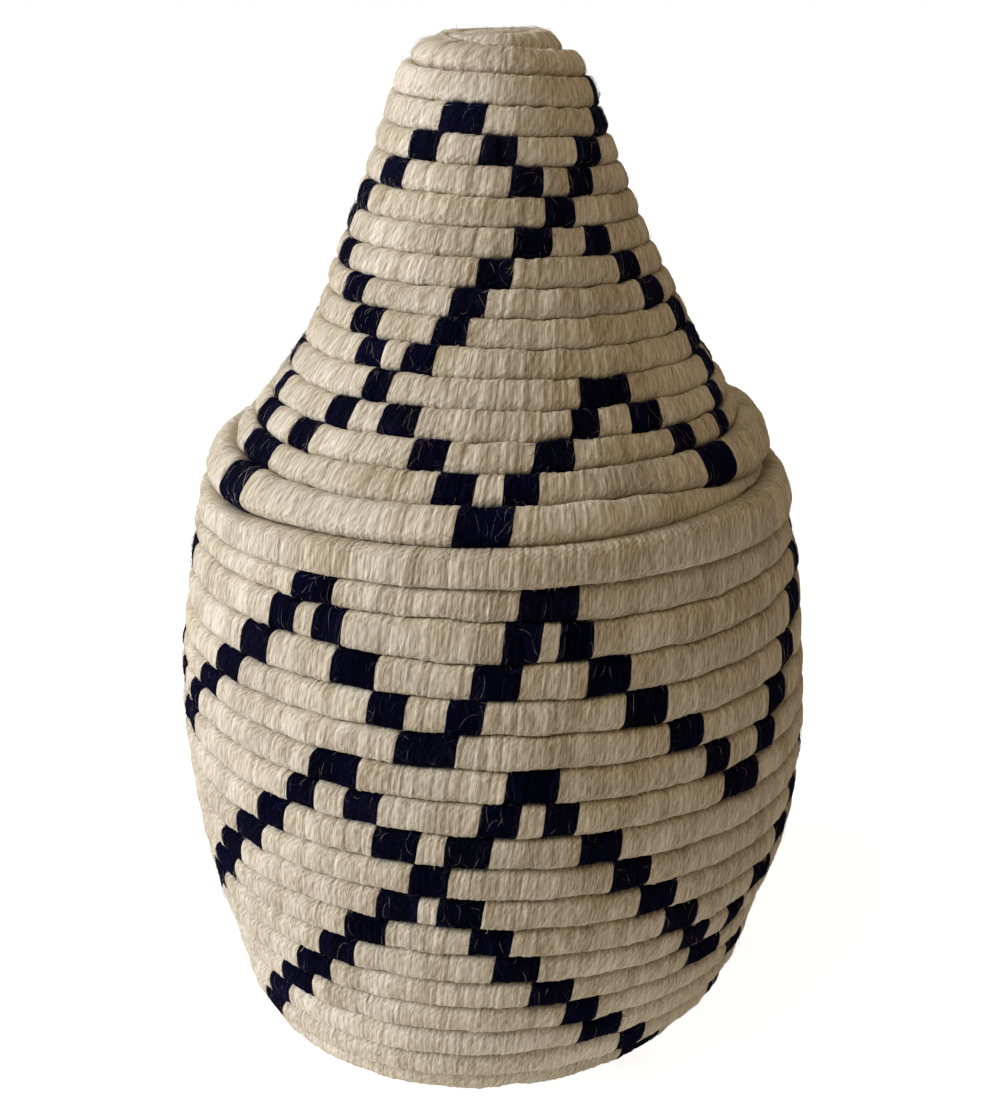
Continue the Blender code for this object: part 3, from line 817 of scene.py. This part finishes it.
def woolYarn(name, kind):
    material, shader = newWool(name, kind["sockets"])
    tree = material.node_tree
    lay = addNode(tree, "UVMap", {"uv_map": "woolLay"})
    strandLay = addNode(tree, "UVMap", {"uv_map": "strandLay"})
    tone = addNode(tree, "Attribute", {"attribute_name": "strandTone"})
    paintedShade = addNode(tree, "Attribute", {"attribute_name": "paintedShade"})
    fibreLay = addNode(tree, "VectorMath", {"operation": "MULTIPLY"}, {
        0: lay, 1: (1 / wool["fibre"][0], 1 / wool["fibre"][1], 1)})
    depth = addNode(tree, "Math", {"operation": "MULTIPLY"}, {
        0: tone.outputs["Fac"], 1: wool["strandApart"]})
    apart = addNode(tree, "CombineXYZ", None, {"Z": depth})
    fibrePlace = addNode(tree, "VectorMath", {"operation": "ADD"}, {0: fibreLay, 1: apart})
    fibres = addNode(tree, "TexNoise", None, {
        "Vector": fibrePlace, "Scale": 1.0, "Detail": 5.0, "Roughness": 0.62, "Distortion": 0.5})
    fuzzLay = addNode(tree, "VectorMath", {"operation": "MULTIPLY"}, {
        0: lay, 1: (1 / wool["fuzz"][0], 1 / wool["fuzz"][1], 1)})
    fuzz = addNode(tree, "TexNoise", None, {
        "Vector": fuzzLay, "Scale": 1.0, "Detail": 4.0, "Roughness": 0.7, "Distortion": 1.2})
    patches = addNode(tree, "TexNoise", None, {
        "Vector": lay, "Scale": 1 / wool["fleece"], "Detail": 3.0, "Roughness": 0.55})

    # the twist: each ply crosses its strand at a slant, round between two creases; it shapes the bump and
    # paints shade into the creases
    cut = addNode(tree, "SeparateXYZ", None, {0: strandLay})
    phase = addNode(tree, "Math", {"operation": "FRACT"}, {0: cut.outputs["X"]})
    along = addNode(tree, "Math", {"operation": "MULTIPLY_ADD"}, {
        0: cut.outputs["Y"], 1: 1 / wool["twist"], 2: depth})
    wander = addNode(tree, "Math", {"operation": "MULTIPLY_ADD"}, {
        0: fuzz, 1: wool["twistWander"], 2: along})
    turned = addNode(tree, "Math", {"operation": "SUBTRACT"}, {0: wander, 1: phase})
    ply = addNode(tree, "Math", {"operation": "PINGPONG"}, {0: turned, 1: 0.5})
    plies = addNode(tree, "Math", {"operation": "POWER"}, {0: ply, 1: wool["plyFlatness"]})

    def between(value, seen, wanted):
        return addNode(tree, "MapRange", None, {
            "Value": value, "From Min": seen[0], "From Max": seen[1],
            "To Min": wanted[0], "To Max": wanted[1]})

    total = between(tone.outputs["Fac"], (0, 1), kind["strandTone"])
    for value, seen, wanted in (
        (fibres, noiseRange, wool["fibreTone"]),
        (fuzz, noiseRange, wool["fuzzTone"]),
        (patches, noiseRange, wool["fleeceTone"]),
        (plies, (0, 0.66), wool["twistPaintedShade"]),
    ):
        total = addNode(tree, "Math", {"operation": "ADD"}, {0: total, 1: between(value, seen, wanted)})
    ramp = addNode(tree, "ValToRGB", None, {"Fac": total})
    dark, middle, pale = (linear(shade) for shade in kind["shades"])
    ramp.color_ramp.elements[0].color = dark
    ramp.color_ramp.elements[1].color = pale
    ramp.color_ramp.elements.new(0.5).color = middle
    # some lengths of fleece are pinker and greyer than others
    hues = addNode(tree, "SeparateColor", None, {0: patches.outputs["Color"]})
    fleece = addNode(tree, "HueSaturation", None, {
        "Hue": between(hues.outputs[1], noiseRange, wool["hue"]),
        "Saturation": between(hues.outputs[2], noiseRange, wool["saturation"]),
        "Color": ramp})
    # painted shade: the colour is mixed towards the kind's dark colour where a point lies deep in a crevice
    # or groove
    coloured = addNode(tree, "Mix", {"data_type": "RGBA"}, {
        "Factor": between(paintedShade.outputs["Fac"], (wool["paintedShadeFrom"], 1), (0, kind["paintedShadeAmount"])),
        6: fleece, 7: linear(kind["paintedShade"])})
    tree.links.new(coloured.outputs[2], shader.inputs["Base Color"])
    height = addNode(tree, "Math", {"operation": "MULTIPLY_ADD"}, {
        0: fuzz, 1: wool["fuzzHeight"], 2: fibres})
    twistBump = addNode(tree, "Bump", None, {
        "Height": plies, "Strength": wool["twistBump"], "Distance": wool["twistDistance"]})
    bump = addNode(tree, "Bump", None, {
        "Height": height, "Strength": wool["bump"], "Distance": wool["bumpDistance"],
        "Normal": twistBump})
    tree.links.new(bump.outputs["Normal"], shader.inputs["Normal"])
    return material


yarns = [woolYarn(name, kind) for name, kind in yarnKinds.items()]
print("wool materials made")


# Wraps a whole coil, length by length, each in place of its CAD solid
def wrapCoil(settings, lengths, zigzags):
    coil = Coil(settings)
    starts = layStrands(coil)
    navy = navyStrands(coil, starts, zigzags)
    tones = coil.rng.uniform(0, 1, len(navy))
    for row, rows, amount in settings["paler"]:
        tones += amount * np.exp(-(((starts[1:] - row) / rows) ** 2))
    lifts = coil.rng.normal(0, wrap["yarnLift"], len(navy))
    edges = [loop + (0.5 / loopPoints if loop else 0) for _, loop, _ in lengths] + [coil.end]
    laid = []
    for (node, _, parts), low, high in zip(lengths, edges, edges[1:]):
        for part in range(parts):
            a = np.searchsorted(starts, low + (high - low) * part / parts)
            b = min(np.searchsorted(starts, low + (high - low) * (part + 1) / parts), len(navy))
            name = "wrapped_" + node + ("_" + "ab"[part] if parts > 1 else "")
            item, points, normals, turn = wrapLength(
                name, coil, starts[a : b + 1], navy[a:b], tones[a:b], lifts[a:b], yarns)
            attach(item, settings["body"])
            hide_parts(node)
            laid.append((points, normals, navy[a:b], turn))
        print("wrapped", node)
    return laid


basketLaid = wrapCoil(basketCoil, basketLengths, basketZigzags)
lidLaid = wrapCoil(lidCoil, lidLengths, lidZigzags)

for node, knot in knots.items():
    item = wrappedKnot("wrapped_" + node, knot, yarns)
    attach(item, knot["body"])
    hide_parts(node)
print("wrapped both start knots")

locatingRing = {
    "thick": 10.3 * mm, "radius": 0.0915, "height": 0.2252, "yarn": 2.6 * mm, "slant": 1.0 * mm,
    "body": "lid", "seed": 31,
}
ring = Ring(locatingRing)
ringStarts = layStrands(ring)
ringTones = ring.rng.uniform(0, 1, len(ringStarts) - 1)
ringLifts = ring.rng.normal(0, wrap["yarnLift"], len(ringTones))
noNavy = np.zeros(len(ringTones), bool)
ringItem, _, _, _ = wrapLength(
    "wrapped_lid_locating_ring", ring, ringStarts, noNavy, ringTones, ringLifts, yarns)
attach(ringItem, "lid")
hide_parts("lid_locating_ring")
print("wrapped the locating ring")


# Loose fibres that stand off the wound yarn: most lie along the strands, some curl across them, navy
# ones reach over the cream beside a block and pale ones over the navy. Real ones are 0.03 mm thick.
looseWool = {
    "radius": 0.070 * mm, "thin": 0.022 * mm, "radiusVary": (0.7, 1.2),  # thin: pale ones over navy
    "lengths": (2.2, 10.0), "typical": 4.4, "lengthVary": 0.4,  # mm
    "across": 20, "acrossWild": 80, "wild": 0.16, "wildAtEdge": 0.7,  # degrees from the strand, and shares
    "bend": 0.13, "rest": 0.10 * mm, "arch": 0.35 * mm, "loose": 1.1 * mm, "looseShare": 0.3,
    "stepAlong": 1.7, "stepAcross": 0.6,  # mm between two of the wrap's points, both ways
    "onNavy": 1.6, "atEdge": 14,  # how many more there are on navy and at a block's edge
    "paleAtEdge": 0.2, "inFromRim": 0.8,
}
looseKinds = {
    "loose cream wool fibre": ("#d9cfb8", "#fff2dc"), "loose navy wool fibre": ("#151428", "#5a62a0"),
}
fibreRings = 5
fibreSides = 3


# The wrap's outer side at column c and step k, between its points
def samplePoints(grid, c, k):
    c = np.clip(c, 0, grid.shape[0] - 1.001)
    k = np.clip(k, 0.25, grid.shape[1] - 1.25)
    i, j = c.astype(int), k.astype(int)
    f, g = (c - i)[..., None], (k - j)[..., None]
    low = grid[i, j] * (1 - f) + grid[i + 1, j] * f
    high = grid[i, j + 1] * (1 - f) + grid[i + 1, j + 1] * f
    return low * (1 - g) + high * g


def fibrePaths(rng, points, normals, navy, count, overNavy):
    edge = navy & ~(np.roll(navy, 1) & np.roll(navy, -1))
    crowd = np.where(edge, looseWool["atEdge"], np.where(navy, looseWool["onNavy"], 1.0))
    crowd[:2] = crowd[-2:] = 0
    strand = rng.choice(len(navy), count, p=crowd / crowd.sum())
    c = strand * columnsPerStrand + rng.uniform(0, columnsPerStrand, count)
    k = rng.uniform(looseWool["inFromRim"], outSteps - looseWool["inFromRim"], count)
    dark, nearEdge = navy[strand], edge[strand]
    pale = ~dark | (rng.random(count) < np.where(nearEdge, looseWool["paleAtEdge"], 1) * overNavy)
    wild = rng.random(count) < looseWool["wild"]
    wild |= nearEdge & ~pale & (rng.random(count) < looseWool["wildAtEdge"])
    widest = looseWool["acrossWild"]
    tilt = np.where(wild, rng.uniform(-widest, widest, count), rng.normal(0, looseWool["across"], count))
    tilt = np.radians(tilt)
    length = looseWool["typical"] * np.exp(rng.normal(0, looseWool["lengthVary"], count))
    length = np.clip(length, *looseWool["lengths"])
    length = np.where(nearEdge & wild, 0.9 * length, length)
    t = np.linspace(-0.5, 0.5, fibreRings)[None]
    bend = rng.normal(0, looseWool["bend"], count)[:, None] * length[:, None] * (4 * t * t)
    along = t * (length * np.cos(tilt))[:, None] - bend * np.sin(tilt)[:, None]
    across = t * (length * np.sin(tilt))[:, None] + bend * np.cos(tilt)[:, None]
    cs = c[:, None] + across / looseWool["stepAcross"]
    ks = k[:, None] + along / looseWool["stepAlong"]
    arch = np.abs(rng.normal(0, looseWool["arch"], count))[:, None] * (1 - 4 * t * t)
    loose = np.abs(rng.normal(0, looseWool["loose"], count))
    loose *= rng.random(count) < looseWool["looseShare"]
    height = looseWool["rest"] + arch + loose[:, None] * (t + 0.5) ** 2
    normal = samplePoints(normals, cs, ks)
    normal /= np.linalg.norm(normal, axis=-1)[..., None]
    radius = np.where(dark & pale, looseWool["thin"], looseWool["radius"])
    radius *= rng.uniform(*looseWool["radiusVary"], count)
    return samplePoints(points, cs, ks) + normal * height[..., None], normal, np.where(pale, 0, 1), radius


# One fibre's faces and their map: a point at each end and rings of points between
def fibreFaces(rings, tip):
    faces = []
    for s in range(fibreSides):
        beside = (s + 1) % fibreSides
        u0, u1 = s / fibreSides, (s + 1) / fibreSides
        middle = (u0 + u1) / 2
        faces.append(([0, 1 + beside, 1 + s], [(middle, 0), (u1, 0.25), (u0, 0.25)]))
        for r in range(rings - 1):
            a, b = 1 + r * fibreSides, 1 + (r + 1) * fibreSides
            v0, v1 = 0.25 + 0.5 * r / (rings - 1), 0.25 + 0.5 * (r + 1) / (rings - 1)
            faces.append(([a + s, a + beside, b + beside, b + s], [(u0, v0), (u1, v0), (u1, v1), (u0, v1)]))
        a = 1 + (rings - 1) * fibreSides
        faces.append(([a + s, a + beside, tip], [(u0, 0.75), (u1, 0.75), (middle, 1)]))
    return faces


def looseFibres(name, coil, laid, count, overNavy, seed, materials):
    rng = np.random.default_rng(seed)
    total = sum(len(turn) for _, _, _, turn in laid)
    grown = [fibrePaths(rng, points, normals, navy, round(count * len(turn) / total), overNavy)
             for points, normals, navy, turn in laid]
    path, up, kind, radius = (np.concatenate(part) for part in zip(*grown))
    n = len(path)
    way = np.gradient(path, axis=1)
    way /= np.maximum(np.linalg.norm(way, axis=-1), 1e-9)[..., None]
    side = np.cross(way, up)
    side /= np.maximum(np.linalg.norm(side, axis=-1), 1e-9)[..., None]
    top = np.cross(side, way)
    turns = (np.arange(fibreSides) * 2 * pi / fibreSides)[:, None]
    ringPoints = path[:, 1:-1, None] + radius[:, None, None, None] * (
        side[:, 1:-1, None] * np.cos(turns) + top[:, 1:-1, None] * np.sin(turns))
    points = np.concatenate([path[:, :1], ringPoints.reshape(n, -1, 3), path[:, -1:]], 1)
    points[..., 2] = np.maximum(points[..., 2], 0)
    block = points.shape[1]
    faces = fibreFaces(fibreRings - 2, block - 1)
    oneFace = np.concatenate([face for face, _ in faces])
    oneCount = np.array([len(face) for face, _ in faces])
    oneUv = np.concatenate([uv for _, uv in faces])
    corners = (np.arange(n)[:, None] * block + oneFace).ravel()
    slots = np.repeat(kind, len(oneCount))
    item = meshObject(name, points.reshape(-1, 3), corners, np.tile(oneCount, n), slots, materials)
    grid = ceil(sqrt(n))
    cell = np.stack([np.arange(n) % grid, np.arange(n) // grid], 1)
    mapOn(item.data, "OFBake", (cell[:, None] + 0.1 + 0.8 * oneUv) / grid)
    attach(item, coil["body"])


fibres = []
for name, (shade, tint) in looseKinds.items():
    fibres.append(newWool(name, {
        "Base Color": shade, "Roughness": 0.8, "Specular IOR Level": 0.2,
        "Sheen Weight": 0.3, "Sheen Tint": tint})[0])
looseFibres("loose_fibres_of_basket", basketCoil, basketLaid, 10500, 0.45, 41, fibres)
looseFibres("loose_fibres_of_lid", lidCoil, lidLaid, 6500, 0.7, 42, fibres)
print("laid the loose fibres")


# Studio

def whiteWorld():
    world = bpy.data.worlds.new("soft white studio")
    bpy.context.scene.world = world
    world.use_nodes = True
    tree = world.node_tree
    tree.nodes.clear()
    path = addNode(tree, "LightPath")
    seen = addNode(tree, "Math", {"operation": "MAXIMUM"}, {
        0: path.outputs["Is Camera Ray"], 1: path.outputs["Is Glossy Ray"]})
    seen = addNode(tree, "Math", {"operation": "MAXIMUM"}, {
        0: seen, 1: path.outputs["Is Transmission Ray"]})
    soft = addNode(tree, "Background", None, {"Color": linear("#ffeacb"), "Strength": 0.14})
    white = addNode(tree, "Background", None, {"Color": (1, 1, 1, 1), "Strength": 1.0})
    mix = addNode(tree, "MixShader", None, {0: seen, 1: soft, 2: white})
    addNode(tree, "OutputWorld", None, {"Surface": mix})


def paleFloor():
    mesh = bpy.data.meshes.new("floor")
    reach = 6.0
    corners = [(-reach, -reach, 0), (reach, -reach, 0), (reach, reach, 0), (-reach, reach, 0)]
    mesh.from_pydata(corners, [], [(0, 1, 2, 3)])
    floor = bpy.data.objects.new("floor", mesh)
    floor.location.z = -0.05 * mm
    bpy.context.scene.collection.objects.link(floor)
    material = bpy.data.materials.new("white painted studio floor")
    material.use_nodes = True
    tree = material.node_tree
    tree.nodes.clear()
    path = addNode(tree, "LightPath")
    paint = addNode(tree, "BsdfDiffuse", None, {"Color": linear("#e6e3dd")})
    # far from the basket the floor is as white as the wall
    place = addNode(tree, "TexCoord")
    far = addNode(tree, "VectorMath", {"operation": "LENGTH"}, {0: place.outputs["Object"]})
    sweep = addNode(tree, "MapRange", {"interpolation_type": "SMOOTHSTEP"}, {
        "Value": far.outputs["Value"], "From Min": 0.3, "From Max": 1.6, "To Min": 0.9, "To Max": 1.0})
    glow = addNode(tree, "Math", {"operation": "MULTIPLY"}, {0: path.outputs["Is Camera Ray"], 1: sweep})
    # and close to the basket it glows for diffuse rays, a painted bounce light that lights the basket's
    # lower rows from below
    near = addNode(tree, "MapRange", {"interpolation_type": "SMOOTHSTEP"}, {
        "Value": far.outputs["Value"], "From Min": 0.15, "From Max": 0.55, "To Min": 0.24, "To Max": 0.0})
    paintedBounce = addNode(tree, "Math", {"operation": "MULTIPLY"}, {
        0: path.outputs["Is Diffuse Ray"], 1: near})
    strength = addNode(tree, "Math", {"operation": "ADD"}, {0: glow, 1: paintedBounce})
    lit = addNode(tree, "Emission", None, {"Color": (1, 1, 1, 1), "Strength": strength})
    both = addNode(tree, "AddShader", None, {0: paint, 1: lit})
    addNode(tree, "OutputMaterial", None, {"Surface": both})
    mesh.materials.append(material)


lamps = {
    "window on the left": {
        "place": (-1.87, -0.44, 0.84), "aim": (0, 0, 0.2), "size": 0.9, "watts": 42.5, "colour": "#f1f4ff"},
    "front fill": {
        "place": (0.1, -2.0, 0.35), "aim": (0, 0, 0.1), "size": 1.6, "watts": 1.2, "colour": "#ffe9cf"},
    "warm bounce on the right": {
        "place": (1.8, -0.3, 0.6), "aim": (0, 0, 0.2), "size": 1.5, "watts": 1.55, "colour": "#ffb964"},
    "soft light from above": {
        "place": (-0.3, -0.9, 2.0), "aim": (0, 0, 0.3), "size": 1.2, "watts": 7.6, "colour": "#ffebcb"},
}


def hangLamps():
    for name, l in lamps.items():
        light = bpy.data.lights.new(name, "AREA")
        light.shape = "DISK"
        light.size = l["size"]
        light.energy = l["watts"]
        light.color = linear(l["colour"])[:3]
        lamp = bpy.data.objects.new(name, light)
        lamp.location = l["place"]
        lamp.rotation_euler = (Vector(l["aim"]) - Vector(l["place"])).to_track_quat("-Z", "Y").to_euler()
        bpy.context.scene.collection.objects.link(lamp)


def placeCamera():
    lens = bpy.data.cameras.new("photo camera")
    lens.sensor_fit = "VERTICAL"
    lens.sensor_height = 24
    lens.lens = 41.5
    camera = bpy.data.objects.new("photo camera", lens)
    camera.location = (1.4 * mm, -0.725, 0.4254)
    camera.rotation_euler = (radians(72), 0, 0)
    bpy.context.scene.collection.objects.link(camera)
    bpy.context.scene.camera = camera


whiteWorld()
paleFloor()
hangLamps()
placeCamera()
bpy.context.scene.view_settings.view_transform = "Standard"
print("studio set")
